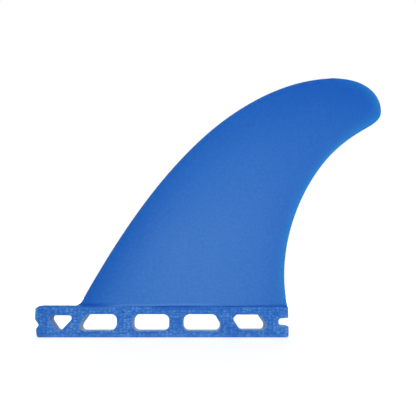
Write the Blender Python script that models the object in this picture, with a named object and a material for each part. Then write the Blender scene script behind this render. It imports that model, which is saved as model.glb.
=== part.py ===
"""A surfboard fin moulded in one piece: a swept blade on a single long tab.

The tab lies along X with its leading end towards -X, the blade rises along +Z
and the thickness is along Y. The origin is the centre of the tab's flat
underside. All sizes are in metres.
"""

import math

import bmesh
import bpy
from mathutils import Vector
from mathutils.geometry import interpolate_bezier

MM = 0.001

# Tab, the part that sits in the board's box.
TAB_LENGTH = 132.6 * MM
TAB_HEIGHT = 16.4 * MM
TAB_THICKNESS = 7.0 * MM
TAB_EDGE_CHAMFER = 0.45 * MM
TAB_CORNER_RADIUS = 1.3 * MM
FRONT_SLANT_RUN = 2.2 * MM
FRONT_SLANT_DROP = 1.4 * MM
FRONT_SLANT_RADIUS = 3.0 * MM
FRONT_LOBE_SETBACK = 0.65 * MM
LOBE_LEAN = 0.65 * MM

# V-shaped catch notch in the leading end.
NOTCH_APEX_HEIGHT = 6.4 * MM
NOTCH_RISE = 3.0 * MM
NOTCH_FALL = 2.3 * MM
NOTCH_DEPTH = 2.05 * MM
NOTCH_LIP_RADIUS = 0.5 * MM
NOTCH_APEX_RADIUS = 0.2 * MM

# Round-ended slot in the trailing end, a little wider at its mouth.
SLOT_HEIGHT = 3.3 * MM
SLOT_FLARE = 0.45 * MM
SLOT_DEPTH = 5.15 * MM
SLOT_AXIS_HEIGHT = 7.9 * MM
SLOT_LIP_RADIUS = 0.5 * MM

# Five windows through the tab, between two rails. Their widths and the webs
# between them are measured halfway up. The three in the middle share what
# the ends leave, and the leaning one gets a little less of it.
LOWER_RAIL = 3.45 * MM
UPPER_RAIL = 4.55 * MM
WINDOW_RADIUS = 3.0 * MM
SHARP_CORNER_RADIUS = 2.3 * MM
WIDE_CORNER_RADIUS = 3.7 * MM
FRONT_POST = 6.05 * MM
WEDGE_WIDTH = 15.05 * MM
WEDGE_FRONT_RADIUS = 1.85 * MM
WEDGE_REAR_RADIUS = 1.45 * MM
WEDGE_POINT_RADIUS = 2.4 * MM
WEDGE_POINT_SHIFT = 1.0 * MM
WEDGE_POINT_DROP = 1.35 * MM
WEDGE_TOP_DROP = 0.6 * MM
WEB_WEDGE_TO_LEANING = 3.2 * MM
LEANING_SHORTFALL = 0.48 * MM
WEB_LEANING_TO_MIDDLE = 8.28 * MM
WEB_MIDDLE_TO_FLARED = 7.32 * MM
WEB_FLARED_TO_SLANTED = 7.9 * MM
SLANTED_WIDTH = 15.7 * MM
SLANTED_LOW_RAISE = 0.5 * MM
SLANTED_HIGH_DROP = 0.2 * MM
SLOT_WALL = 7.25 * MM
LEANING_SLOPE = 0.73
FLARED_SLOPE = 0.58
SLANTED_FRONT_SLOPE = 0.66
SLANTED_REAR_SLOPE = 0.69

# Blade outline, seen from the side. The crest is its highest point.
BLADE_CHORD = 110.4 * MM
BLADE_HEIGHT = 126.2 * MM
BLADE_TAIL_OVERHANG = 0.1 * MM
ROOT_FILLET = 2.0 * MM
CREST_RAKE = 28.1 * MM
SHOULDER_DROP = 33.05 * MM
SHOULDER_AHEAD_OF_CREST = 71.55 * MM
SHOULDER_ANGLE = math.radians(42.6)
NOSE_DROP = 18.75 * MM
NOSE_BEHIND_CREST = 26.25 * MM
HOOK_DROP = 40.25 * MM
HOOK_BEHIND_CREST = 1.5 * MM
HOOK_ANGLE = math.radians(41.7)

# How far each outline curve pulls before it bends.
LEAD_ROOT_PULL = (18.0 * MM, 33.5 * MM)
SHOULDER_PULL_DOWN = 37.7 * MM
SHOULDER_PULL_UP = 25.1 * MM
CREST_PULL_FORWARD = 26.2 * MM
CREST_PULL_BACK = 19.05 * MM
NOSE_PULL_UP = 9.15 * MM
NOSE_PULL_DOWN = 8.7 * MM
HOOK_PULL_UP = 20.45 * MM
HOOK_PULL_DOWN = 25.25 * MM
TAIL_ROOT_PULL = (-6.15 * MM, 33.6 * MM)

# Blade section: a foil that is the same on both sides.
ROOT_THICKNESS = 9.0 * MM
CREST_THICKNESS = 1.0 * MM
TRAILING_EDGE_THICKNESS = 0.8 * MM
NOSE_POWER = 0.5
TAIL_POWER = 0.75
THINNING_POWER = 1.3
CREST_POWER = 0.71
BLADE_SUNK = 0.25 * MM
SKIRT_HEIGHT = 0.25 * MM
SKIRT_SHARE = 0.6

LEVELS = 44
CHORD_STEPS = 26
CURVE_STEPS = 90
ARC_STEP = math.radians(15.0)

# Places that follow from the sizes.
TAB_FRONT = -TAB_LENGTH / 2.0
TAB_REAR = TAB_LENGTH / 2.0
BLADE_ROOT_BACK = TAB_REAR + BLADE_TAIL_OVERHANG
BLADE_ROOT_FRONT = BLADE_ROOT_BACK - BLADE_CHORD
CREST_X = BLADE_ROOT_BACK + CREST_RAKE
CREST_Z = TAB_HEIGHT + BLADE_HEIGHT
BLADE_FOOT = TAB_HEIGHT - BLADE_SUNK

FIN_BLUE = (0.045, 0.160, 0.520, 1.0)


def clear_file():
    for item in list(bpy.data.objects):
        bpy.data.objects.remove(item, do_unlink=True)


def new_collection(name):
    made = bpy.data.collections.new(name)
    bpy.context.scene.collection.children.link(made)
    return made


def rounded(corners):
    """Outline of a polygon whose corners (x, z, radius) are turned into arcs."""
    outline = []
    for i, (x, z, radius) in enumerate(corners):
        here = Vector((x, z))
        before = Vector(corners[i - 1][:2]) - here
        after = Vector(corners[(i + 1) % len(corners)][:2]) - here
        half = before.angle(after) / 2.0
        bisector = (before.normalized() + after.normalized()).normalized()
        centre = here + bisector * (radius / math.sin(half))
        start = here + before.normalized() * (radius / math.tan(half)) - centre
        sweep = math.pi - 2.0 * half
        turn = before.cross(after)
        sense = 1.0 if turn < 0.0 else -1.0
        count = max(1, round(sweep / ARC_STEP))
        for k in range(count + 1):
            angle = sense * sweep * k / count
            c = math.cos(angle)
            s = math.sin(angle)
            spoke = Vector((c * start.x - s * start.y, s * start.x + c * start.y))
            outline.append(centre + spoke)
    return outline


def prism(name, outline, half_depth, collection, chamfer=0.0):
    """Solid of an outline in the XZ plane, extruded along Y, with chamfered rims."""
    curve = bpy.data.curves.new(name, "CURVE")
    curve.dimensions = "2D"
    curve.fill_mode = "BOTH"
    curve.extrude = half_depth - chamfer
    curve.bevel_depth = chamfer
    curve.bevel_resolution = 0
    curve.offset = -chamfer
    spline = curve.splines.new("POLY")
    spline.points.add(len(outline) - 1)
    for point, at in zip(spline.points, outline):
        point.co = (at.x, at.y, 0.0, 1.0)
    spline.use_cyclic_u = True
    drawn = bpy.data.objects.new(name + "_outline", curve)
    drawn.rotation_euler.x = math.pi / 2.0
    collection.objects.link(drawn)
    bpy.context.view_layer.update()
    depsgraph = bpy.context.evaluated_depsgraph_get()
    mesh = bpy.data.meshes.new_from_object(drawn.evaluated_get(depsgraph))
    weld(mesh)
    made = bpy.data.objects.new(name, mesh)
    made.matrix_world = drawn.matrix_world
    collection.objects.link(made)
    bpy.data.objects.remove(drawn, do_unlink=True)
    return made


def weld(mesh):
    """Joins coincident points and turns every face outwards."""
    work = bmesh.new()
    work.from_mesh(mesh)
    bmesh.ops.remove_doubles(work, verts=work.verts, dist=0.00001)
    bmesh.ops.recalc_face_normals(work, faces=work.faces)
    work.to_mesh(mesh)
    work.free()


def tab_outline():
    slot_low = SLOT_AXIS_HEIGHT - SLOT_HEIGHT / 2.0
    slot_high = SLOT_AXIS_HEIGHT + SLOT_HEIGHT / 2.0
    slot_end = TAB_REAR - SLOT_DEPTH
    front_lobe = TAB_FRONT + FRONT_LOBE_SETBACK
    end_round = SLOT_HEIGHT / 2.0 * 0.9
    return rounded([
        (front_lobe + LOBE_LEAN, 0.0, TAB_CORNER_RADIUS),
        (TAB_REAR, 0.0, TAB_CORNER_RADIUS),
        (TAB_REAR, slot_low - SLOT_FLARE, SLOT_LIP_RADIUS),
        (slot_end, slot_low, end_round),
        (slot_end, slot_high, end_round),
        (TAB_REAR, slot_high + SLOT_FLARE, SLOT_LIP_RADIUS),
        (TAB_REAR, TAB_HEIGHT, TAB_CORNER_RADIUS),
        (TAB_FRONT + FRONT_SLANT_RUN, TAB_HEIGHT, FRONT_SLANT_RADIUS),
        (TAB_FRONT, TAB_HEIGHT - FRONT_SLANT_DROP, NOTCH_LIP_RADIUS),
        (TAB_FRONT, NOTCH_APEX_HEIGHT + NOTCH_RISE, NOTCH_LIP_RADIUS),
        (TAB_FRONT + NOTCH_DEPTH, NOTCH_APEX_HEIGHT, NOTCH_APEX_RADIUS),
        (front_lobe, NOTCH_APEX_HEIGHT - NOTCH_FALL, NOTCH_LIP_RADIUS),
    ])


def window_outlines():
    low = LOWER_RAIL
    high = TAB_HEIGHT - UPPER_RAIL
    rise = (high - low) / 2.0
    plain = min(WINDOW_RADIUS, rise * 0.9)
    sharp = min(SHARP_CORNER_RADIUS, rise * 0.9)
    wide = min(WIDE_CORNER_RADIUS, rise * 0.9)

    wedge_front = TAB_FRONT + FRONT_POST
    wedge_back = wedge_front + WEDGE_WIDTH
    point = (wedge_front + wedge_back) / 2.0 - WEDGE_POINT_SHIFT
    wedge = rounded([
        (point, low - WEDGE_POINT_DROP, WEDGE_POINT_RADIUS),
        (wedge_back, high - WEDGE_TOP_DROP, WEDGE_REAR_RADIUS),
        (wedge_front, high - WEDGE_TOP_DROP, WEDGE_FRONT_RADIUS),
    ])

    def four(left, right, slopes, radii, floor=low, roof=high):
        half = (roof - floor) / 2.0
        left_slope, right_slope = slopes
        low_left, low_right, high_right, high_left = radii
        return rounded([
            (left - left_slope * half, floor, low_left),
            (right - right_slope * half, floor, low_right),
            (right + right_slope * half, roof, high_right),
            (left + left_slope * half, roof, high_left),
        ])

    first = wedge_back + WEB_WEDGE_TO_LEANING
    slanted_end = TAB_REAR - SLOT_DEPTH - SLOT_WALL
    slanted_start = slanted_end - SLANTED_WIDTH
    last = slanted_start - WEB_FLARED_TO_SLANTED
    webs = WEB_LEANING_TO_MIDDLE + WEB_MIDDLE_TO_FLARED
    width = (last - first - webs + LEANING_SHORTFALL) / 3.0
    leaning_end = first + width - LEANING_SHORTFALL
    second = leaning_end + WEB_LEANING_TO_MIDDLE
    third = second + width + WEB_MIDDLE_TO_FLARED
    return {
        "window_wedge": wedge,
        "window_leaning": four(first, leaning_end, (LEANING_SLOPE, 0.0), (sharp, wide, plain, plain)),
        "window_middle": four(second, second + width, (0.0, 0.0), (plain,) * 4),
        "window_flared": four(third, last, (0.0, -FLARED_SLOPE), (plain, sharp, plain, plain)),
        "window_slanted": four(
            slanted_start, slanted_end, (-SLANTED_FRONT_SLOPE, -SLANTED_REAR_SLOPE), (sharp,) * 4,
            low + SLANTED_LOW_RAISE, high - SLANTED_HIGH_DROP),
    }


def bezier(start, start_handle, end_handle, end):
    points = [Vector((x, 0.0, z)) for x, z in (start, start_handle, end_handle, end)]
    found = interpolate_bezier(*points, CURVE_STEPS)
    return [(p.x, p.z) for p in found]


def pulled(point, angle, length):
    return (point[0] + length * math.cos(angle), point[1] + length * math.sin(angle))


def leading_edge():
    root = (BLADE_ROOT_FRONT, TAB_HEIGHT)
    shoulder = (CREST_X - SHOULDER_AHEAD_OF_CREST, CREST_Z - SHOULDER_DROP)
    crest = (CREST_X, CREST_Z)
    rise = (root[0] + LEAD_ROOT_PULL[0], root[1] + LEAD_ROOT_PULL[1])
    below = pulled(shoulder, SHOULDER_ANGLE, -SHOULDER_PULL_DOWN)
    above = pulled(shoulder, SHOULDER_ANGLE, SHOULDER_PULL_UP)
    level = (CREST_X - CREST_PULL_FORWARD, CREST_Z)
    low = bezier(root, rise, below, shoulder)
    return low + bezier(shoulder, above, level, crest)[1:]


def trailing_edge():
    root = (BLADE_ROOT_BACK, TAB_HEIGHT)
    hook = (CREST_X + HOOK_BEHIND_CREST, CREST_Z - HOOK_DROP)
    nose = (CREST_X + NOSE_BEHIND_CREST, CREST_Z - NOSE_DROP)
    crest = (CREST_X, CREST_Z)
    rise = (root[0] + TAIL_ROOT_PULL[0], root[1] + TAIL_ROOT_PULL[1])
    below = pulled(hook, HOOK_ANGLE, -HOOK_PULL_DOWN)
    above = pulled(hook, HOOK_ANGLE, HOOK_PULL_UP)
    nose_under = (nose[0], nose[1] - NOSE_PULL_DOWN)
    nose_over = (nose[0], nose[1] + NOSE_PULL_UP)
    level = (CREST_X + CREST_PULL_BACK, CREST_Z)
    low = bezier(root, rise, below, hook)
    under = bezier(hook, above, nose_under, nose)
    return low + under[1:] + bezier(nose, nose_over, level, crest)[1:]


def along(line, z):
    """X of a rising outline at height z."""
    for (x0, z0), (x1, z1) in zip(line, line[1:]):
        if z <= z1:
            return x0 + (x1 - x0) * (z - z0) / max(z1 - z0, 1e-9)
    return line[-1][0]


def blade_levels():
    """Heights of the sections, closer together towards the crest."""
    rise = CREST_Z - BLADE_FOOT
    turn = [math.pi / 2.0 * k / LEVELS for k in range(LEVELS)]
    return [BLADE_FOOT - SKIRT_HEIGHT] + [BLADE_FOOT + rise * math.sin(a) for a in turn]


def section(z, lead, trail):
    """Points of the foil at height z, round the nose and back to the tail."""
    level = max(z, TAB_HEIGHT)
    share = (level - TAB_HEIGHT) / BLADE_HEIGHT
    front = along(lead, level)
    back = along(trail, level)
    lift = level - TAB_HEIGHT
    if lift < ROOT_FILLET:
        front -= ROOT_FILLET - math.sqrt(lift * (2.0 * ROOT_FILLET - lift))
    chord = back - front
    fullness = (1.0 - share ** THINNING_POWER) ** CREST_POWER
    thickness = CREST_THICKNESS + (ROOT_THICKNESS - CREST_THICKNESS) * fullness
    peak = NOSE_POWER / (NOSE_POWER + TAIL_POWER)
    peak_value = peak ** NOSE_POWER * (1.0 - peak) ** TAIL_POWER
    if z < BLADE_FOOT:
        thickness *= SKIRT_SHARE
    side = []
    for k in range(CHORD_STEPS + 1):
        u = (1.0 - math.cos(math.pi * k / CHORD_STEPS)) / 2.0
        foil = u ** NOSE_POWER * (1.0 - u) ** TAIL_POWER / peak_value
        half = foil * thickness / 2.0 + u * TRAILING_EDGE_THICKNESS / 2.0
        side.append((front + chord * u, half))
    near = [(x, -y, z) for x, y in side[1:]]
    far = [(x, y, z) for x, y in reversed(side[1:])]
    return [(side[0][0], 0.0, z)] + near + far


def blade(collection):
    """Loft of the foil sections, closed at the foot and at the crest."""
    lead = leading_edge()
    trail = trailing_edge()
    rings = [section(z, lead, trail) for z in blade_levels()]
    count = len(rings[0])
    points = [point for ring in rings for point in ring]
    faces = []
    for level in range(len(rings) - 1):
        base = level * count
        for k in range(count):
            after = (k + 1) % count
            faces.append((base + k, base + after, base + count + after, base + count + k))
    last = (len(rings) - 1) * count
    faces.append(tuple(reversed(range(count))))
    faces.append(tuple(last + k for k in range(count)))
    mesh = bpy.data.meshes.new("blade")
    mesh.from_pydata(points, [], faces)
    weld(mesh)
    made = bpy.data.objects.new("blade", mesh)
    collection.objects.link(made)
    return made


def as_tool(item):
    item.hide_render = True
    item.display_type = "WIRE"


def boolean(target, tool, operation):
    step = target.modifiers.new(operation.lower() + "_" + tool.name, "BOOLEAN")
    step.operation = operation
    step.object = tool
    step.solver = "EXACT"


def fin_material():
    made = bpy.data.materials.new("fin_composite")
    made.use_nodes = True
    shader = made.node_tree.nodes["Principled BSDF"]
    shader.inputs["Base Color"].default_value = FIN_BLUE
    shader.inputs["Roughness"].default_value = 0.38
    shader.inputs["IOR"].default_value = 1.5
    return made


def main():
    clear_file()
    product = new_collection("surfboard_fin")
    tools = new_collection("tools")
    fin = prism("fin", tab_outline(), TAB_THICKNESS / 2.0, product, TAB_EDGE_CHAMFER)
    for name, outline in window_outlines().items():
        window = prism(name, outline, TAB_THICKNESS, tools)
        as_tool(window)
        boolean(fin, window, "DIFFERENCE")
    foil = blade(tools)
    as_tool(foil)
    boolean(fin, foil, "UNION")
    fin.data.materials.append(fin_material())


main()
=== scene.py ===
"""Looks of a surfboard fin: a satin blue glass-fibre blade on a woven tab.

The tab lies along X with its leading end towards -X, the blade rises along +Z
and the thickness is along Y. All sizes are in metres.
"""

import math

import bmesh
import bpy
import numpy as np
from mathutils import Matrix, Vector
from mathutils.geometry import interpolate_bezier

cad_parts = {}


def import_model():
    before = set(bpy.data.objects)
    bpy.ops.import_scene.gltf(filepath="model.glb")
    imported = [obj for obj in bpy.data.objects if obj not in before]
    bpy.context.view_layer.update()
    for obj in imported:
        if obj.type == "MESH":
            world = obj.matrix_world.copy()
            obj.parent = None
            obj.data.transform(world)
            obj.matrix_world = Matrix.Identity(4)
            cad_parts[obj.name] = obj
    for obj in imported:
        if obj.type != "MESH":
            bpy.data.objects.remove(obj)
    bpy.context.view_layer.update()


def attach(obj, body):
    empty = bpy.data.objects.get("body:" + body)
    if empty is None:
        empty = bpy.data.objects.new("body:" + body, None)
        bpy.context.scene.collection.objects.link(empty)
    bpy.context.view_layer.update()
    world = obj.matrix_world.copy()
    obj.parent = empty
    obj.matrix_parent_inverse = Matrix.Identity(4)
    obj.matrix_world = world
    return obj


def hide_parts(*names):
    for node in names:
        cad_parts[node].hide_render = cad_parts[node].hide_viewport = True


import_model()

MM = 0.001

# Tab.
TAB_LOW, TAB_HIGH = -66.3 * MM, 66.3 * MM
TAB_HEIGHT = 16.4 * MM
TAB_HALF_THICKNESS = 3.5 * MM
TAB_RADIUS = 1.3 * MM
LIP_RADIUS = 0.5 * MM

# Rims: rounding of the tab's edges, chamfer of the windows, the turn from which an
# edge counts as a rim or is shaded sharp, and how close points are welded.
TAB_ROUNDING, TAB_ROUNDING_STEPS = 0.45 * MM, 2
RIM_CHAMFER, RIM_CHAMFER_STEPS = 0.3 * MM, 2
RIM_ANGLE = math.radians(80.0)
SHARP_ANGLE = math.radians(34.0)
WELD_DISTANCE = 0.003 * MM

# Leading end: the lower lobe sits back and leans, and a slant takes off the upper corner.
FRONT_LOBE = TAB_LOW + 0.65 * MM
LOBE_LEAN = 0.65 * MM
SLANT_RUN, SLANT_DROP, SLANT_RADIUS = 2.2 * MM, 1.4 * MM, 3.0 * MM
NOTCH_DEPTH, NOTCH_RADIUS = 2.05 * MM, 0.2 * MM
NOTCH_LOW, NOTCH_POINT, NOTCH_HIGH = 4.1 * MM, 6.4 * MM, 9.4 * MM

# Trailing end: a slot, a little wider at its mouth.
SLOT_LOW, SLOT_HIGH = 6.25 * MM, 9.55 * MM
SLOT_FLARE = 0.45 * MM
SLOT_DEPTH = 5.15 * MM
SLOT_ROUNDING_SHARE = 0.45

# The wedge-shaped window: its corners with their radii.
WEDGE = (
    (-53.725 * MM, 2.1 * MM, 2.4 * MM),
    (-45.2 * MM, 11.25 * MM, 1.45 * MM),
    (-60.25 * MM, 11.25 * MM, 1.85 * MM),
)

# The other windows: low and high edge, left and right side halfway up, how far
# each side leans, radii from the low left corner round, and how much the side
# walls close in towards the far face.
PLAIN, SHARP, BLUNT, WIDE = 3.0 * MM, 2.3 * MM, 2.65 * MM, 3.7 * MM
LOW, HIGH = 3.45 * MM, 11.85 * MM
WINDOWS = (
    (LOW, HIGH, -42.0 * MM, -23.42 * MM, 0.73, 0.0, (SHARP, WIDE, PLAIN, PLAIN), 0.3 * MM),
    (LOW, HIGH, -15.14 * MM, 3.92 * MM, 0.0, 0.0, (PLAIN, PLAIN, PLAIN, WIDE), 0.1 * MM),
    (LOW, HIGH, 11.24 * MM, 30.3 * MM, 0.0, -0.58, (PLAIN, BLUNT, PLAIN, WIDE), 0.1 * MM),
    (3.95 * MM, 11.65 * MM, 38.2 * MM, 53.9 * MM, -0.66, -0.69, (SHARP,) * 4, 0.55 * MM),
)

# Blade outline.
ROOT_BACK = TAB_HIGH + 0.1 * MM
ROOT_FRONT = ROOT_BACK - 110.4 * MM
CREST = (94.5 * MM, 142.6 * MM)
SHOULDER = (22.95 * MM, 109.55 * MM)
SHOULDER_ANGLE = math.radians(42.6)
NOSE = (120.75 * MM, 123.85 * MM)
HOOK = (96.0 * MM, 102.35 * MM)
HOOK_ANGLE = math.radians(41.7)
ROOT_FILLET = 2.0 * MM

# How far each outline curve pulls before it bends.
LEAD_ROOT_PULL = (18.0 * MM, 33.5 * MM)
SHOULDER_PULLS = (37.7 * MM, 25.1 * MM)
CREST_PULLS = (26.2 * MM, 19.05 * MM)
NOSE_PULLS = (8.7 * MM, 9.15 * MM)
HOOK_PULLS = (25.25 * MM, 20.45 * MM)
TAIL_ROOT_PULL = (-6.15 * MM, 33.6 * MM)

# Blade section. Below its foot the blade tapers into a thinner skirt inside the tab.
ROOT_THICKNESS = 9.0 * MM
CREST_THICKNESS = 1.0 * MM
TAIL_THICKNESS = 0.8 * MM
NOSE_POWER, TAIL_POWER = 0.5, 0.75
THINNING_POWER, CREST_POWER = 1.3, 0.71
BLADE_FOOT = TAB_HEIGHT - 0.25 * MM
SKIRT_HEIGHT = 0.25 * MM
SKIRT_SHARE = 0.6

# Fineness of the mesh.
LEVELS = 150
CHORD_STEPS = 90
CURVE_STEPS = 220
ARC_STEP = math.radians(6.0)

# Light that comes through the thin tail: how far in it reaches, how much further
# at the tip, where along X the tip begins, how strong the band and its line are, and
# the height from which they show.
GLOW_REACH, GLOW_TIP_GAIN = 2.9 * MM, 0.5
TIP_GLOW = (92.0 * MM, 118.0 * MM)
GLOW_BAND, GLOW_LINE = 0.5, 0.3
GLOW_FOOT = BLADE_FOOT - 0.05 * MM

# Painted highlight line just inside the blade's edges: how far in, how wide, and what it
# adds to how deep the colour is along the leading edge and the crest.
RIM_LINE, RIM_LINE_WIDTH = 0.95 * MM, 0.4 * MM
RIM_LINE_DEPTH = 0.25

# How deep the colour is, by the blade's fullness: partly the laminate's own tone and partly
# a painted highlight over the full middle, darker towards the edges; and how strongly, at
# which power and how far in the leading and the trailing edge lower it.
DEPTH_GAIN, DEPTH_POWER, DEPTH_OFFSET = 1.27, 0.6, 0.285
LEAD_LOSS, LEAD_LOSS_POWER, LEAD_REACH = 0.775, 1.5, 15.0 * MM
TAIL_LOSS, TAIL_LOSS_POWER, TAIL_REACH = 0.254, 0.5, 20.0 * MM

# Distances to the blade's outline are taken from every sixth of its points.
OUTLINE_STRIDE = 6

# Where the tab's cut walls and window rims lie, and how they are told from its flat
# faces by the Y of their normals.
WALLS_X = (TAB_LOW + 0.3 * MM, TAB_HIGH - 0.2 * MM)
WALLS_Z = (0.5 * MM, TAB_HEIGHT - 1.0 * MM)
WALL_HALF_DEPTH = TAB_HALF_THICKNESS - 0.1 * MM
WALL_NORMAL, FACE_NORMAL = 0.3, 0.97

# Colours, in sRGB from 0 to 255.
# The deep blue stands partly for a painted highlight over the blade's full middle.
THIN_BLUE, DEEP_BLUE_AND_SHEEN = (13, 94, 195), (49, 120, 204)
CLOUD_BLUE, CLOUD_STRENGTH = (50, 122, 208), 0.12
GLOW_BLUE = (40, 142, 219)
TAB_BLUES = (18, 99, 193), (30, 111, 204)
TAB_STRENGTH = 0.9
# Walls of the windows: those of the leading window darker and the others lighter, as painted shade and
# painted light.
FRONT_WALL_SHADED = (84, 126, 190), (136, 170, 218)
REAR_WALL_LIT = (128, 160, 204), (188, 206, 232)
WALL_CHANGE = (-50.0 * MM, -44.0 * MM)

# Marks on the surface: a colour and its strength. The lip, edge and rim marks are painted
# highlights, and the shade and crease marks painted shade.
THREAD_MARK = (122, 178, 235), 0.78
STRIP_MARK = (14, 92, 189), 0.5
LIP_HIGHLIGHT_MARK = (82, 144, 218), 0.42
SHADE_MARK = (0, 82, 188), 0.75
CREASE_SHADE_MARK = (0, 84, 188), 0.95
EDGE_HIGHLIGHT_MARK = (96, 156, 222), 1.0
RIM_HIGHLIGHT_MARK = (128, 170, 222), 0.7

# Lines along the foot of the blade: painted shade in the crease, a painted highlight on the
# blade's lower rim, painted shade over the sag, and a plainer strip. A START is where one fades
# in along X, an END where it fades out, and an EDGE how it fades out away from its middle.
SAG, SAG_START, SAG_END = 1.8 * MM, (-50.0 * MM, -42.0 * MM), (-35.0 * MM, -17.0 * MM)
# Painted shade in the crease where the blade meets the tab.
CREASE_SHADE_HEIGHT, CREASE_SHADE_EDGE = 15.97 * MM, (0.12 * MM, 0.62 * MM)
CREASE_SHADE_START, CREASE_SHADE_EASE, CREASE_SHADE_FULL = (-10.0 * MM, 4.0 * MM), (12.0 * MM, 20.0 * MM), (25.0 * MM, 34.0 * MM)
CREASE_SHADE_FAINT, CREASE_SHADE_EARLY, CREASE_SHADE_EASED = 0.15, 0.8, 0.4
# Painted highlight along the blade's lower rim, just above the tab.
LIP_HEIGHT, LIP_DROP, LIP_EDGE = 17.1 * MM, 0.35 * MM, (0.2 * MM, 0.8 * MM)
LIP_RISE, LIP_START, LIP_END = (-8.0 * MM, 8.0 * MM), (-34.0 * MM, -24.0 * MM), (22.0 * MM, 32.0 * MM)
SHADE_HEIGHT, SHADE_SAG, SHADE_EDGE = 17.2 * MM, 0.4, (0.5 * MM, 1.5 * MM)
SHADE_START, SHADE_END = (-44.0 * MM, -40.0 * MM), (-36.0 * MM, -22.0 * MM)
STRIP_FOOT, STRIP_START = (13.5 * MM, 14.5 * MM), (-10.0 * MM, 4.0 * MM)
STRIP_END, STRIP_REST = (15.0 * MM, 35.0 * MM), 0.25
STRIP_HIDES_THREADS = 0.4

# Noises: scale, detail, roughness and how the coordinates are stretched. A RANGE is
# the part of a noise that is spread from nothing to all.
CLOUD = 28.0, 3.0, 0.5
MOTTLE = 800.0, 4.0, 0.7
DRIFT = 90.0, 2.0, 0.5
STRAY = 260.0, 2.0, 0.5
SPECK = 700.0, 3.0, 0.65, (1.0, 1.0, 2.1)
PATCH = 130.0, 3.0, 0.6, (1.0, 1.0, 1.5)
BEADS = 420.0, 2.0, 0.5, (1.0, 1.0, 0.4)
GRAIN = 700.0, 3.0, 0.6, (1.0, 4.0, 1.0)
GRIT = 1500.0, 2.0, 0.5
MIDDLE_RANGE, GLOSS_RANGE = (0.3, 0.7), (0.2, 0.8)
SPECK_RANGE, PATCH_RANGE, BEADS_RANGE = (0.42, 0.72), (0.36, 0.64), (0.4, 0.62)

# Mottle of the blade: range of its brightness and of its saturation.
MOTTLE_VALUE, MOTTLE_SATURATION = (0.95, 1.05), (1.009, 0.991)

# Cloth in the tab: pitch of its threads along X and up, how far they stray and how
# unevenly they lie, how each fades out and how faint the faintest is, the shares of
# threads and specks, how much of them the thin and the dense patches show, and the
# cloth's upper border.
FLOAT_PITCH, ROW_PITCH = 2.0 * MM, 1.3 * MM
THREAD_STRAY, THREAD_UNEVENNESS = 1.0 * MM, 0.55
THREAD_FADE = (0.58, 0.15)
THREAD_LUCK, FAINTEST_THREAD = (0.0, 0.9), 0.2
THREAD_SHARE, SPECK_SHARE = 0.75, 0.45
PATCH_SHOWS = (0.55, 0.9)
CLOTH_TOP, CLOTH_TOP_DRIFT = (16.5 * MM, 17.5 * MM), 2.0 * MM

# Broken lighter line along the tab's edges, a painted highlight.
EDGE_LINE, EDGE_LINE_EDGE = 0.95 * MM, (0.15 * MM, 0.6 * MM)
EDGE_LINE_SHOWS = (0.15, 0.5)

# Finish: gloss, and the small bumps of the threads and of the grit in the surface.
ROUGHNESS = (0.46, 0.52)
TAB_ROUGHER, WALL_ROUGHER = 0.1, 0.2
REFRACTIVE_INDEX = 1.5
SPECULAR_LEVEL = 0.2
BUMP_STRENGTH, BUMP_DISTANCE = 0.18, 0.05 * MM
THREAD_BUMP, GRIT_BUMP = 0.6, 0.25

# Stage and light: the floor's glow near the fin and far from it, and the lamps with
# name, place, size and power in watts.
AMBIENT = 0.24
FLOOR_SIZE, FLOOR_DROP = 8.0, 0.2 * MM
FLOOR_COLOUR, FLOOR_ROUGHNESS = (0.86, 0.86, 0.87, 1.0), 0.9
FLOOR_NEAR, FLOOR_FAR = 0.62, 0.8
FLOOR_FADE = (0.15, 0.45)
WHITE = (1.0, 1.0, 1.0, 1.0)
LAMPS_AIM = (0.02, 0.0, 0.05)
LAMPS = (
    ("front_softbox", (0.05, -0.55, 0.0), (0.4, 0.35), 3.45),
    ("overhead_softbox", (0.1, -0.1, 1.2), (1.2, 1.2), 2.0),
    ("back_softbox", (0.0, 0.9, 0.3), (0.8, 0.6), 6.5),
)

# Camera: close to the height of the tab, tilted up a little.
CAMERA_AT = (19.8 * MM, -220.0 * MM, 25.0 * MM)
CAMERA_TILT = math.radians(5.5)
CAMERA_LENS = 35.48
CAMERA_SENSOR = 36.0
CAMERA_SHIFT = (0.0204, 0.10)
CAMERA_NEAREST = 0.01


def rounded(corners):
    """Outline of a polygon whose corners (x, z, radius) are turned into arcs."""
    outline = []
    for i, (x, z, radius) in enumerate(corners):
        here = Vector((x, z))
        before = Vector(corners[i - 1][:2]) - here
        after = Vector(corners[(i + 1) % len(corners)][:2]) - here
        half = before.angle(after) / 2.0
        bisector = (before.normalized() + after.normalized()).normalized()
        centre = here + bisector * (radius / math.sin(half))
        start = here + before.normalized() * (radius / math.tan(half)) - centre
        sweep = math.pi - 2.0 * half
        sense = 1.0 if before.cross(after) < 0.0 else -1.0
        count = max(1, round(sweep / ARC_STEP))
        for k in range(count + 1):
            angle = sense * sweep * k / count
            c = math.cos(angle)
            s = math.sin(angle)
            outline.append(centre + Vector((c * start.x - s * start.y, s * start.x + c * start.y)))
    return outline


def added(name, data):
    """New object of the data, in the scene."""
    made = bpy.data.objects.new(name, data)
    bpy.context.scene.collection.objects.link(made)
    return made


def make_whole(mesh, weld=False):
    """Turns all faces outwards, after welding points that coincide if asked to."""
    work = bmesh.new()
    work.from_mesh(mesh)
    if weld:
        bmesh.ops.remove_doubles(work, verts=work.verts, dist=WELD_DISTANCE)
    bmesh.ops.recalc_face_normals(work, faces=work.faces)
    work.to_mesh(mesh)
    work.free()


def evaluated_mesh(item):
    """The item's mesh with its modifiers, or its curve turned into a mesh."""
    depsgraph = bpy.context.evaluated_depsgraph_get()
    return bpy.data.meshes.new_from_object(item.evaluated_get(depsgraph))


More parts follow.
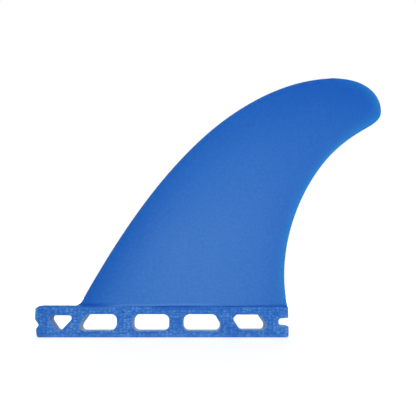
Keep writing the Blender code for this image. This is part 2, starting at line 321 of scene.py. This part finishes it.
def prism(name, outline, half_depth, rounding):
    """Solid of an outline in the XZ plane, extruded along Y, with rounded rims."""
    curve = bpy.data.curves.new(name, "CURVE")
    curve.dimensions = "2D"
    curve.fill_mode = "BOTH"
    curve.extrude = half_depth - rounding
    curve.bevel_depth = rounding
    curve.bevel_resolution = TAB_ROUNDING_STEPS
    curve.offset = -rounding
    spline = curve.splines.new("POLY")
    spline.points.add(len(outline) - 1)
    for point, at in zip(spline.points, outline):
        point.co = (at.x, at.y, 0.0, 1.0)
    spline.use_cyclic_u = True
    drawn = added(name, curve)
    bpy.context.view_layer.update()
    mesh = evaluated_mesh(drawn)
    mesh.transform(Matrix.Rotation(math.pi / 2.0, 4, "X"))
    bpy.data.objects.remove(drawn, do_unlink=True)
    make_whole(mesh, weld=True)
    return added(name, mesh)


def tab_outline():
    """Outline of the tab, from its lower leading corner round, with notch and slot."""
    slot_end = TAB_HIGH - SLOT_DEPTH
    slot_round = (SLOT_HIGH - SLOT_LOW) * SLOT_ROUNDING_SHARE
    return rounded([
        (FRONT_LOBE + LOBE_LEAN, 0.0, TAB_RADIUS),
        (TAB_HIGH, 0.0, TAB_RADIUS),
        (TAB_HIGH, SLOT_LOW - SLOT_FLARE, LIP_RADIUS),
        (slot_end, SLOT_LOW, slot_round),
        (slot_end, SLOT_HIGH, slot_round),
        (TAB_HIGH, SLOT_HIGH + SLOT_FLARE, LIP_RADIUS),
        (TAB_HIGH, TAB_HEIGHT, TAB_RADIUS),
        (TAB_LOW + SLANT_RUN, TAB_HEIGHT, SLANT_RADIUS),
        (TAB_LOW, TAB_HEIGHT - SLANT_DROP, LIP_RADIUS),
        (TAB_LOW, NOTCH_HIGH, LIP_RADIUS),
        (TAB_LOW + NOTCH_DEPTH, NOTCH_POINT, NOTCH_RADIUS),
        (FRONT_LOBE, NOTCH_LOW, LIP_RADIUS),
    ])


def window_tool(outline, draft=0.0):
    """Cutter whose side walls close in by the draft from the near face to the far one."""
    count = len(outline)
    half_depth = 2.0 * TAB_HALF_THICKNESS
    points = []
    for y in (-half_depth, half_depth):
        inset = draft * (y + TAB_HALF_THICKNESS) / (2.0 * TAB_HALF_THICKNESS)
        for k, at in enumerate(outline):
            along = outline[(k + 1) % count] - outline[k - 1]
            points.append((at.x - inset * along.y / along.length, y, at.y))
    faces = [tuple(range(count)), tuple(reversed(range(count, 2 * count)))]
    for k in range(count):
        after = (k + 1) % count
        faces.append((after, k, count + k, count + after))
    mesh = bpy.data.meshes.new("window")
    mesh.from_pydata(points, [], faces)
    make_whole(mesh)
    return added("window", mesh)


def window_tools():
    """Cutters of the five windows, from the leading end on."""
    tools = [window_tool(rounded(WEDGE))]
    for low, high, left, right, left_slope, right_slope, radii, draft in WINDOWS:
        rise = (high - low) / 2.0
        corners = (
            (left - left_slope * rise, low),
            (right - right_slope * rise, low),
            (right + right_slope * rise, high),
            (left + left_slope * rise, high),
        )
        outline = rounded([(x, z, radius) for (x, z), radius in zip(corners, radii)])
        tools.append(window_tool(outline, draft))
    return tools


def bezier(start, start_handle, end_handle, end):
    points = [Vector((x, 0.0, z)) for x, z in (start, start_handle, end_handle, end)]
    return [(p.x, p.z) for p in interpolate_bezier(*points, CURVE_STEPS)]


def pulled(point, angle, length):
    return (point[0] + length * math.cos(angle), point[1] + length * math.sin(angle))


def leading_edge():
    root = (ROOT_FRONT, TAB_HEIGHT)
    rise = (root[0] + LEAD_ROOT_PULL[0], root[1] + LEAD_ROOT_PULL[1])
    below = pulled(SHOULDER, SHOULDER_ANGLE, -SHOULDER_PULLS[0])
    above = pulled(SHOULDER, SHOULDER_ANGLE, SHOULDER_PULLS[1])
    level = (CREST[0] - CREST_PULLS[0], CREST[1])
    return np.array(bezier(root, rise, below, SHOULDER) + bezier(SHOULDER, above, level, CREST)[1:])


def trailing_edge():
    root = (ROOT_BACK, TAB_HEIGHT)
    rise = (root[0] + TAIL_ROOT_PULL[0], root[1] + TAIL_ROOT_PULL[1])
    below = pulled(HOOK, HOOK_ANGLE, -HOOK_PULLS[0])
    above = pulled(HOOK, HOOK_ANGLE, HOOK_PULLS[1])
    under = (NOSE[0], NOSE[1] - NOSE_PULLS[0])
    over = (NOSE[0], NOSE[1] + NOSE_PULLS[1])
    level = (CREST[0] + CREST_PULLS[1], CREST[1])
    low = bezier(root, rise, below, HOOK)
    return np.array(low + bezier(HOOK, above, under, NOSE)[1:] + bezier(NOSE, over, level, CREST)[1:])


LEAD = leading_edge()
TRAIL = trailing_edge()


def fullness(z):
    """Share of the root's thickness that the blade still has at height z."""
    share = np.clip((z - TAB_HEIGHT) / (CREST[1] - TAB_HEIGHT), 0.0, 1.0)
    return (1.0 - share ** THINNING_POWER) ** CREST_POWER


def foil_ring(z):
    """Points of the section at height z, from the nose round to the nose."""
    level = max(z, TAB_HEIGHT)
    front = np.interp(level, LEAD[:, 1], LEAD[:, 0])
    back = np.interp(level, TRAIL[:, 1], TRAIL[:, 0])
    lift = level - TAB_HEIGHT
    if lift < ROOT_FILLET:
        front -= ROOT_FILLET - math.sqrt(lift * (2.0 * ROOT_FILLET - lift))
    thickness = CREST_THICKNESS + (ROOT_THICKNESS - CREST_THICKNESS) * fullness(level)
    if z < BLADE_FOOT:
        thickness *= SKIRT_SHARE
    peak = NOSE_POWER / (NOSE_POWER + TAIL_POWER)
    u = (1.0 - np.cos(np.linspace(0.0, math.pi, CHORD_STEPS + 1))) / 2.0
    foil = (u / peak) ** NOSE_POWER * ((1.0 - u) / (1.0 - peak)) ** TAIL_POWER
    half = foil * thickness / 2.0 + u * TAIL_THICKNESS / 2.0
    x = front + (back - front) * u
    near = [(x[k], -half[k], z) for k in range(1, CHORD_STEPS + 1)]
    far = [(x[k], half[k], z) for k in range(CHORD_STEPS, 0, -1)]
    return [(x[0], 0.0, z)] + near + far


def blade():
    """Loft of the foil sections, closed at the foot and at the crest."""
    turn = np.linspace(0.0, math.pi / 2.0, LEVELS + 1)[:-1]
    heights = [BLADE_FOOT - SKIRT_HEIGHT] + list(BLADE_FOOT + (CREST[1] - BLADE_FOOT) * np.sin(turn))
    rings = [foil_ring(z) for z in heights]
    count = len(rings[0])
    faces = []
    for level in range(len(rings) - 1):
        base = level * count
        for k in range(count):
            after = (k + 1) % count
            faces.append((base + k, base + after, base + count + after, base + count + k))
    last = (len(rings) - 1) * count
    faces.append(tuple(reversed(range(count))))
    faces.append(tuple(last + k for k in range(count)))
    mesh = bpy.data.meshes.new("blade")
    mesh.from_pydata([p for ring in rings for p in ring], [], faces)
    return added("blade", mesh)


def cut(target, tool, operation="DIFFERENCE"):
    step = target.modifiers.new("boolean", "BOOLEAN")
    step.operation = operation
    step.object = tool
    step.solver = "EXACT"


def chamfer_rims(target):
    step = target.modifiers.new("rims", "BEVEL")
    step.width = RIM_CHAMFER
    step.segments = RIM_CHAMFER_STEPS
    step.limit_method = "ANGLE"
    step.angle_limit = RIM_ANGLE
    step.use_clamp_overlap = False


def fine_fin():
    """The whole moulding: the tab with its windows, joined to the blade."""
    fin = prism("fin_moulding", tab_outline(), TAB_HALF_THICKNESS, TAB_ROUNDING)
    tools = window_tools()
    for tool in tools:
        cut(fin, tool)
    chamfer_rims(fin)
    foil = blade()
    cut(fin, foil, "UNION")
    mesh = evaluated_mesh(fin)
    fin.modifiers.clear()
    fin.data = mesh
    for tool in tools + [foil]:
        bpy.data.objects.remove(tool, do_unlink=True)
    mesh.shade_smooth()
    mesh.set_sharp_from_angle(angle=SHARP_ANGLE)
    return fin


def distance_to(line, points):
    """Shortest distance from each point (x, z) to a polyline."""
    best = np.full(len(points), 1.0)
    for start, end in zip(line[:-1], line[1:]):
        span = end - start
        t = np.clip((points - start) @ span / max(span @ span, 1e-16), 0.0, 1.0)
        gap = np.linalg.norm(points - start - t[:, None] * span, axis=1)
        best = np.minimum(best, gap)
    return best


def bell(distance, reach):
    """One where the distance is nothing, falling off to either side."""
    return np.exp(-(distance / reach) ** 2)


def glow_depth_and_sheen(points):
    """For each point, how much light comes through the tail and how deep the colour is,
    which also paints a highlight over the blade's full middle.
    """
    x, z = points[:, 0], points[:, 2]
    from_tail = distance_to(TRAIL[::OUTLINE_STRIDE], points[:, (0, 2)])
    from_lead = distance_to(LEAD[::OUTLINE_STRIDE], points[:, (0, 2)])
    full = fullness(z)
    tipness = np.clip((x - TIP_GLOW[0]) / (TIP_GLOW[1] - TIP_GLOW[0]), 0.0, 1.0)
    shown = np.where(z > NOSE[1], tipness, 1.0)
    band = bell(from_tail, GLOW_REACH * (1.0 + GLOW_TIP_GAIN * tipness))
    # Painted highlight line just inside the edges: in the glow along the tail, and in the colour along the
    # leading edge and the crest.
    line = bell(from_tail - RIM_LINE, RIM_LINE_WIDTH)
    glow = shown * (GLOW_BAND * band + GLOW_LINE * line)
    crest_line = (1.0 - shown) * line + bell(from_lead - RIM_LINE, RIM_LINE_WIDTH)
    depth_and_sheen = DEPTH_GAIN * full ** DEPTH_POWER - DEPTH_OFFSET
    depth_and_sheen -= LEAD_LOSS * full ** LEAD_LOSS_POWER * bell(from_lead, LEAD_REACH)
    depth_and_sheen -= TAIL_LOSS * full ** TAIL_LOSS_POWER * bell(from_tail, TAIL_REACH)
    return glow * (z > GLOW_FOOT), np.clip(depth_and_sheen + RIM_LINE_DEPTH * crest_line, 0.0, 1.0)


def paint_zones(fin):
    """Stores the tail's glow, how deep the colour is with its painted highlight, the cut walls
    and the windows' rims, which get a painted highlight.
    """
    mesh = fin.data
    co = np.empty(len(mesh.vertices) * 3)
    mesh.vertices.foreach_get("co", co)
    glow, depth_and_sheen = glow_depth_and_sheen(co.reshape(-1, 3))
    corner_vertex = np.empty(len(mesh.loops), dtype=int)
    mesh.loops.foreach_get("vertex_index", corner_vertex)
    values = np.zeros((len(mesh.loops), 4))
    values[:, 0] = glow[corner_vertex]
    values[:, 1] = depth_and_sheen[corner_vertex]
    for polygon in mesh.polygons:
        x, y, z = polygon.center
        if not (WALLS_X[0] < x < WALLS_X[1] and WALLS_Z[0] < z < WALLS_Z[1]):
            continue
        if abs(polygon.normal.y) < WALL_NORMAL and abs(y) < WALL_HALF_DEPTH:
            values[polygon.loop_indices, 2] = 1.0
        elif abs(polygon.normal.y) < FACE_NORMAL:
            values[polygon.loop_indices, 3] = 1.0
    zones = mesh.attributes.new("zones", "FLOAT_COLOR", "CORNER")
    zones.data.foreach_set("color", values.ravel())


def srgb(red, green, blue):
    """Linear colour of an sRGB colour given as 0 to 255."""
    channels = []
    for value in (red, green, blue):
        share = value / 255.0
        channels.append(share / 12.92 if share <= 0.04045 else ((share + 0.055) / 1.055) ** 2.4)
    return (*channels, 1.0)


class Nodes:
    """Short way to build a node tree."""

    def __init__(self, material):
        material.use_nodes = True
        self.tree = material.node_tree
        self.shader = self.tree.nodes["Principled BSDF"]
        self.where = self.new("ShaderNodeTexCoord").outputs["Object"]

    def new(self, kind):
        return self.tree.nodes.new(kind)

    def add(self, kind, **inputs):
        """New node with its inputs set by name, or by number as i0, i1 and so on."""
        made = self.new(kind)
        for key, value in inputs.items():
            self.feed(made, key, value)
        return made

    def feed(self, node, key, value):
        socket = node.inputs[int(key[1:])] if key[0] == "i" and key[1:].isdigit() else node.inputs[key]
        if isinstance(value, bpy.types.NodeSocket):
            self.tree.links.new(value, socket)
        else:
            socket.default_value = value

    def math(self, operation, a, b=0.0, clamp=False):
        made = self.add("ShaderNodeMath", i0=a, i1=b)
        made.operation = operation
        made.use_clamp = clamp
        return made.outputs[0]

    def product(self, first, *others):
        for other in others:
            first = self.math("MULTIPLY", first, other)
        return first

    def vector(self, operation, a, b=(0.0, 0.0, 0.0), scale=1.0):
        made = self.add("ShaderNodeVectorMath", i0=a, i1=b, i3=scale)
        made.operation = operation
        return made.outputs["Value" if operation == "LENGTH" else "Vector"]

    def ramp(self, value, low, high, out_low=0.0, out_high=1.0):
        made = self.add("ShaderNodeMapRange", i0=value, i1=low, i2=high, i3=out_low, i4=out_high)
        made.interpolation_type = "SMOOTHSTEP"
        return made.outputs[0]

    def stripe(self, value, middle, edge):
        """One along the middle, fading to nothing over the edge's two distances."""
        gap = self.math("ABSOLUTE", self.math("SUBTRACT", value, middle))
        return self.ramp(gap, *edge, 1.0, 0.0)

    def mix(self, factor, a, b):
        made = self.new("ShaderNodeMix")
        made.data_type = "RGBA"
        made.clamp_factor = True
        for key, value in (("i0", factor), ("i6", a), ("i7", b)):
            self.feed(made, key, value)
        return made.outputs[2]

    def marked(self, under, mask, mark):
        colour, strength = mark
        return self.mix(self.product(mask, strength), under, srgb(*colour))

    def stretched(self, where, scales):
        return self.add("ShaderNodeMapping", Vector=where, Scale=scales).outputs["Vector"]

    def noise(self, scale, detail, roughness, stretch=None, output="Fac"):
        where = self.stretched(self.where, stretch) if stretch else self.where
        made = self.add("ShaderNodeTexNoise", Vector=where, Scale=scale, Detail=detail, Roughness=roughness)
        return made.outputs[output]


def laminate(n, cloud, depth_and_sheen, glow):
    """Blue of the blade: a little uneven and mottled, lighter and greener where the
    laminate is deep, partly its own tone and partly a painted highlight, and lit through
    where it is thin."""
    blue = n.mix(depth_and_sheen, srgb(*THIN_BLUE), srgb(*DEEP_BLUE_AND_SHEEN))
    blue = n.mix(n.ramp(cloud, *MIDDLE_RANGE, 0.0, CLOUD_STRENGTH), blue, srgb(*CLOUD_BLUE))
    blue = n.mix(glow, blue, srgb(*GLOW_BLUE))
    mottle = n.noise(*MOTTLE)
    value = n.ramp(mottle, *MIDDLE_RANGE, *MOTTLE_VALUE)
    saturation = n.ramp(mottle, *MIDDLE_RANGE, *MOTTLE_SATURATION)
    return n.add("ShaderNodeHueSaturation", Color=blue, Value=value, Saturation=saturation).outputs[0]


def foot_lines(n, x, z):
    """How far the cloth sags near the leading edge, and the masks of the painted shade in the
    crease where the blade meets the tab, the painted highlight on the blade's lower rim, the
    painted shade over the sag and the plainer strip under the crease."""
    sag = n.product(n.ramp(x, *SAG_START), n.ramp(x, *SAG_END, SAG, 0.0))
    early = n.product(
        n.ramp(x, *CREASE_SHADE_START, CREASE_SHADE_FAINT, CREASE_SHADE_EARLY), n.ramp(x, *CREASE_SHADE_EASE, 1.0, CREASE_SHADE_EASED))
    # Painted shade in the crease at the blade's foot.
    crease_shade = n.product(
        n.stripe(z, CREASE_SHADE_HEIGHT, CREASE_SHADE_EDGE), n.math("MAXIMUM", early, n.ramp(x, *CREASE_SHADE_FULL)))
    # Painted highlight along the blade's lower rim.
    lip_height = n.math("SUBTRACT", n.ramp(x, *LIP_RISE, LIP_HEIGHT - LIP_DROP, LIP_HEIGHT), sag)
    lip_highlight = n.product(
        n.stripe(z, lip_height, LIP_EDGE), n.ramp(x, *LIP_START), n.ramp(x, *LIP_END, 1.0, 0.0))
    shade_height = n.math("SUBTRACT", SHADE_HEIGHT, n.product(sag, SHADE_SAG))
    shade = n.product(
        n.stripe(z, shade_height, SHADE_EDGE), n.ramp(x, *SHADE_START), n.ramp(x, *SHADE_END, 1.0, 0.0))
    strip = n.product(
        n.ramp(z, *STRIP_FOOT), n.ramp(x, *STRIP_START), n.ramp(x, *STRIP_END, 1.0, STRIP_REST))
    return sag, crease_shade, lip_highlight, shade, strip


def cloth(n):
    """Masks of the short light threads, which lie in rows, and of the patches they gather in."""
    stray = n.vector("SUBTRACT", n.noise(*STRAY, output="Color"), (0.5, 0.5, 0.5))
    strayed = n.vector("ADD", n.where, n.vector("SCALE", stray, scale=THREAD_STRAY))
    pitches = (1.0 / FLOAT_PITCH, 1.0 / ROW_PITCH, 1.0 / ROW_PITCH)
    lattice = n.stretched(strayed, pitches)
    cell = n.add("ShaderNodeTexVoronoi", Vector=lattice, Scale=1.0, Randomness=THREAD_UNEVENNESS)
    luck = n.add("ShaderNodeSeparateColor", Color=cell.outputs["Color"]).outputs[0]
    brightness = n.ramp(luck, *THREAD_LUCK, FAINTEST_THREAD, 1.0)
    threads = n.product(n.ramp(cell.outputs["Distance"], *THREAD_FADE), brightness)
    speck = n.ramp(n.noise(*SPECK), *SPECK_RANGE)
    patch = n.ramp(n.noise(*PATCH), *PATCH_RANGE)
    glints = n.math("ADD", n.product(threads, THREAD_SHARE), n.product(speck, SPECK_SHARE), clamp=True)
    return n.product(glints, n.ramp(patch, 0.0, 1.0, *PATCH_SHOWS)), patch


def edge_highlight_line(n, x, z):
    """Mask of the broken lighter line along the foot and both ends of the tab, a painted highlight."""
    from_end = n.math("SUBTRACT", TAB_HIGH, n.math("ABSOLUTE", x))
    line = n.stripe(n.math("MINIMUM", z, from_end), EDGE_LINE, EDGE_LINE_EDGE)
    return n.product(line, n.ramp(n.noise(*BEADS), *BEADS_RANGE, *EDGE_LINE_SHOWS))


def bare_fibre(n, x):
    """Colour of the walls cut through the tab, with painted shade darker in the window at the
    leading end and painted light on the other walls.
    """
    grain = n.ramp(n.noise(*GRAIN), *MIDDLE_RANGE)
    front, rear = (n.mix(grain, srgb(*dark), srgb(*light)) for dark, light in (FRONT_WALL_SHADED, REAR_WALL_LIT))
    return n.mix(n.ramp(x, *WALL_CHANGE), front, rear)


def composite_material():
    """Blue glass-fibre composite, with woven cloth close under the surface of the tab."""
    material = bpy.data.materials.new("blue_composite")
    n = Nodes(material)
    x, _, z = n.add("ShaderNodeSeparateXYZ", Vector=n.where).outputs
    zones = n.new("ShaderNodeAttribute")
    zones.attribute_name = "zones"
    glow, depth_and_sheen, wall = n.add("ShaderNodeSeparateColor", Color=zones.outputs["Color"]).outputs
    rim = zones.outputs["Alpha"]
    cloud = n.noise(*CLOUD)
    sag, crease_shade, lip_highlight, shade, strip = foot_lines(n, x, z)
    weave, patch = cloth(n)

    drift = n.product(n.noise(*DRIFT), CLOTH_TOP_DRIFT)
    on_tab = n.ramp(n.math("ADD", n.math("ADD", z, sag), drift), *CLOTH_TOP, 1.0, 0.0)
    bared = n.math("SUBTRACT", 1.0, n.product(strip, STRIP_HIDES_THREADS))
    woven = n.product(weave, on_tab, bared)
    tab_blue = n.mix(patch, *(srgb(*colour) for colour in TAB_BLUES))
    blue = n.mix(n.product(on_tab, TAB_STRENGTH), laminate(n, cloud, depth_and_sheen, glow), tab_blue)
    # The lip, the edge line and the window rims are painted highlights; the shade and the crease shade are
    # painted shade.
    for mask, mark in (
        (woven, THREAD_MARK),
        (n.product(strip, on_tab), STRIP_MARK),
        (lip_highlight, LIP_HIGHLIGHT_MARK),
        (shade, SHADE_MARK),
        (crease_shade, CREASE_SHADE_MARK),
        (n.product(edge_highlight_line(n, x, z), on_tab), EDGE_HIGHLIGHT_MARK),
        (rim, RIM_HIGHLIGHT_MARK),
    ):
        blue = n.marked(blue, mask, mark)

    n.feed(n.shader, "Base Color", n.mix(wall, blue, bare_fibre(n, x)))
    rougher = n.math("ADD", n.product(on_tab, TAB_ROUGHER), n.product(wall, WALL_ROUGHER))
    n.feed(n.shader, "Roughness", n.math("ADD", rougher, n.ramp(cloud, *GLOSS_RANGE, *ROUGHNESS)))
    n.feed(n.shader, "IOR", REFRACTIVE_INDEX)
    n.feed(n.shader, "Specular IOR Level", SPECULAR_LEVEL)
    height = n.math("ADD", n.product(woven, THREAD_BUMP), n.product(n.noise(*GRIT), GRIT_BUMP))
    bump = n.add("ShaderNodeBump", Strength=BUMP_STRENGTH, Distance=BUMP_DISTANCE, Height=height)
    n.feed(n.shader, "Normal", bump.outputs["Normal"])
    return material


def white_stage_material():
    """Floor that glows for the camera and in reflections, less so near the fin, where
    its shadow shows."""
    material = bpy.data.materials.new("stage_white")
    n = Nodes(material)
    n.feed(n.shader, "Base Color", FLOOR_COLOUR)
    n.feed(n.shader, "Roughness", FLOOR_ROUGHNESS)
    n.feed(n.shader, "Specular IOR Level", 0.0)
    path = n.new("ShaderNodeLightPath").outputs
    seen = n.math("MAXIMUM", path["Is Camera Ray"], path["Is Glossy Ray"])
    seen = n.math("MAXIMUM", seen, path["Is Transmission Ray"])
    level = n.ramp(n.vector("LENGTH", n.where), *FLOOR_FADE, FLOOR_NEAR, FLOOR_FAR)
    n.feed(n.shader, "Emission Color", WHITE)
    n.feed(n.shader, "Emission Strength", n.product(seen, level))
    return material


def stage():
    bpy.ops.mesh.primitive_plane_add(size=FLOOR_SIZE, location=(0.0, 0.0, -FLOOR_DROP))
    floor = bpy.context.object
    floor.name = "floor"
    floor.data.materials.append(white_stage_material())


def world():
    """Soft even light on the fin, and a white background for the camera."""
    made = bpy.data.worlds.new("studio")
    bpy.context.scene.world = made
    made.use_nodes = True
    tree = made.node_tree
    background = tree.nodes["Background"]
    background.inputs["Color"].default_value = WHITE
    path = tree.nodes.new("ShaderNodeLightPath").outputs
    level = tree.nodes.new("ShaderNodeMapRange")
    level.inputs["To Min"].default_value = AMBIENT
    level.inputs["To Max"].default_value = 1.0
    tree.links.new(path["Is Camera Ray"], level.inputs["Value"])
    tree.links.new(level.outputs[0], background.inputs["Strength"])


def lights():
    for name, at, size, power in LAMPS:
        light = bpy.data.lights.new(name, "AREA")
        light.shape = "RECTANGLE"
        light.size, light.size_y = size
        light.energy = power
        lamp = added(name, light)
        lamp.location = at
        lamp.rotation_euler = (Vector(LAMPS_AIM) - Vector(at)).to_track_quat("-Z", "Y").to_euler()


def camera():
    data = bpy.data.cameras.new("camera")
    data.sensor_fit = "HORIZONTAL"
    data.sensor_width = CAMERA_SENSOR
    data.lens = CAMERA_LENS
    data.shift_x, data.shift_y = CAMERA_SHIFT
    data.clip_start = CAMERA_NEAREST
    item = added("camera", data)
    item.location = CAMERA_AT
    item.rotation_euler = (math.pi / 2.0 + CAMERA_TILT, 0.0, 0.0)
    bpy.context.scene.camera = item


def main():
    bpy.context.scene.view_settings.view_transform = "Standard"
    fin = fine_fin()
    paint_zones(fin)
    fin.data.materials.clear()
    fin.data.materials.append(composite_material())
    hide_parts("fin")
    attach(fin, "root")
    stage()
    world()
    lights()
    camera()


main()
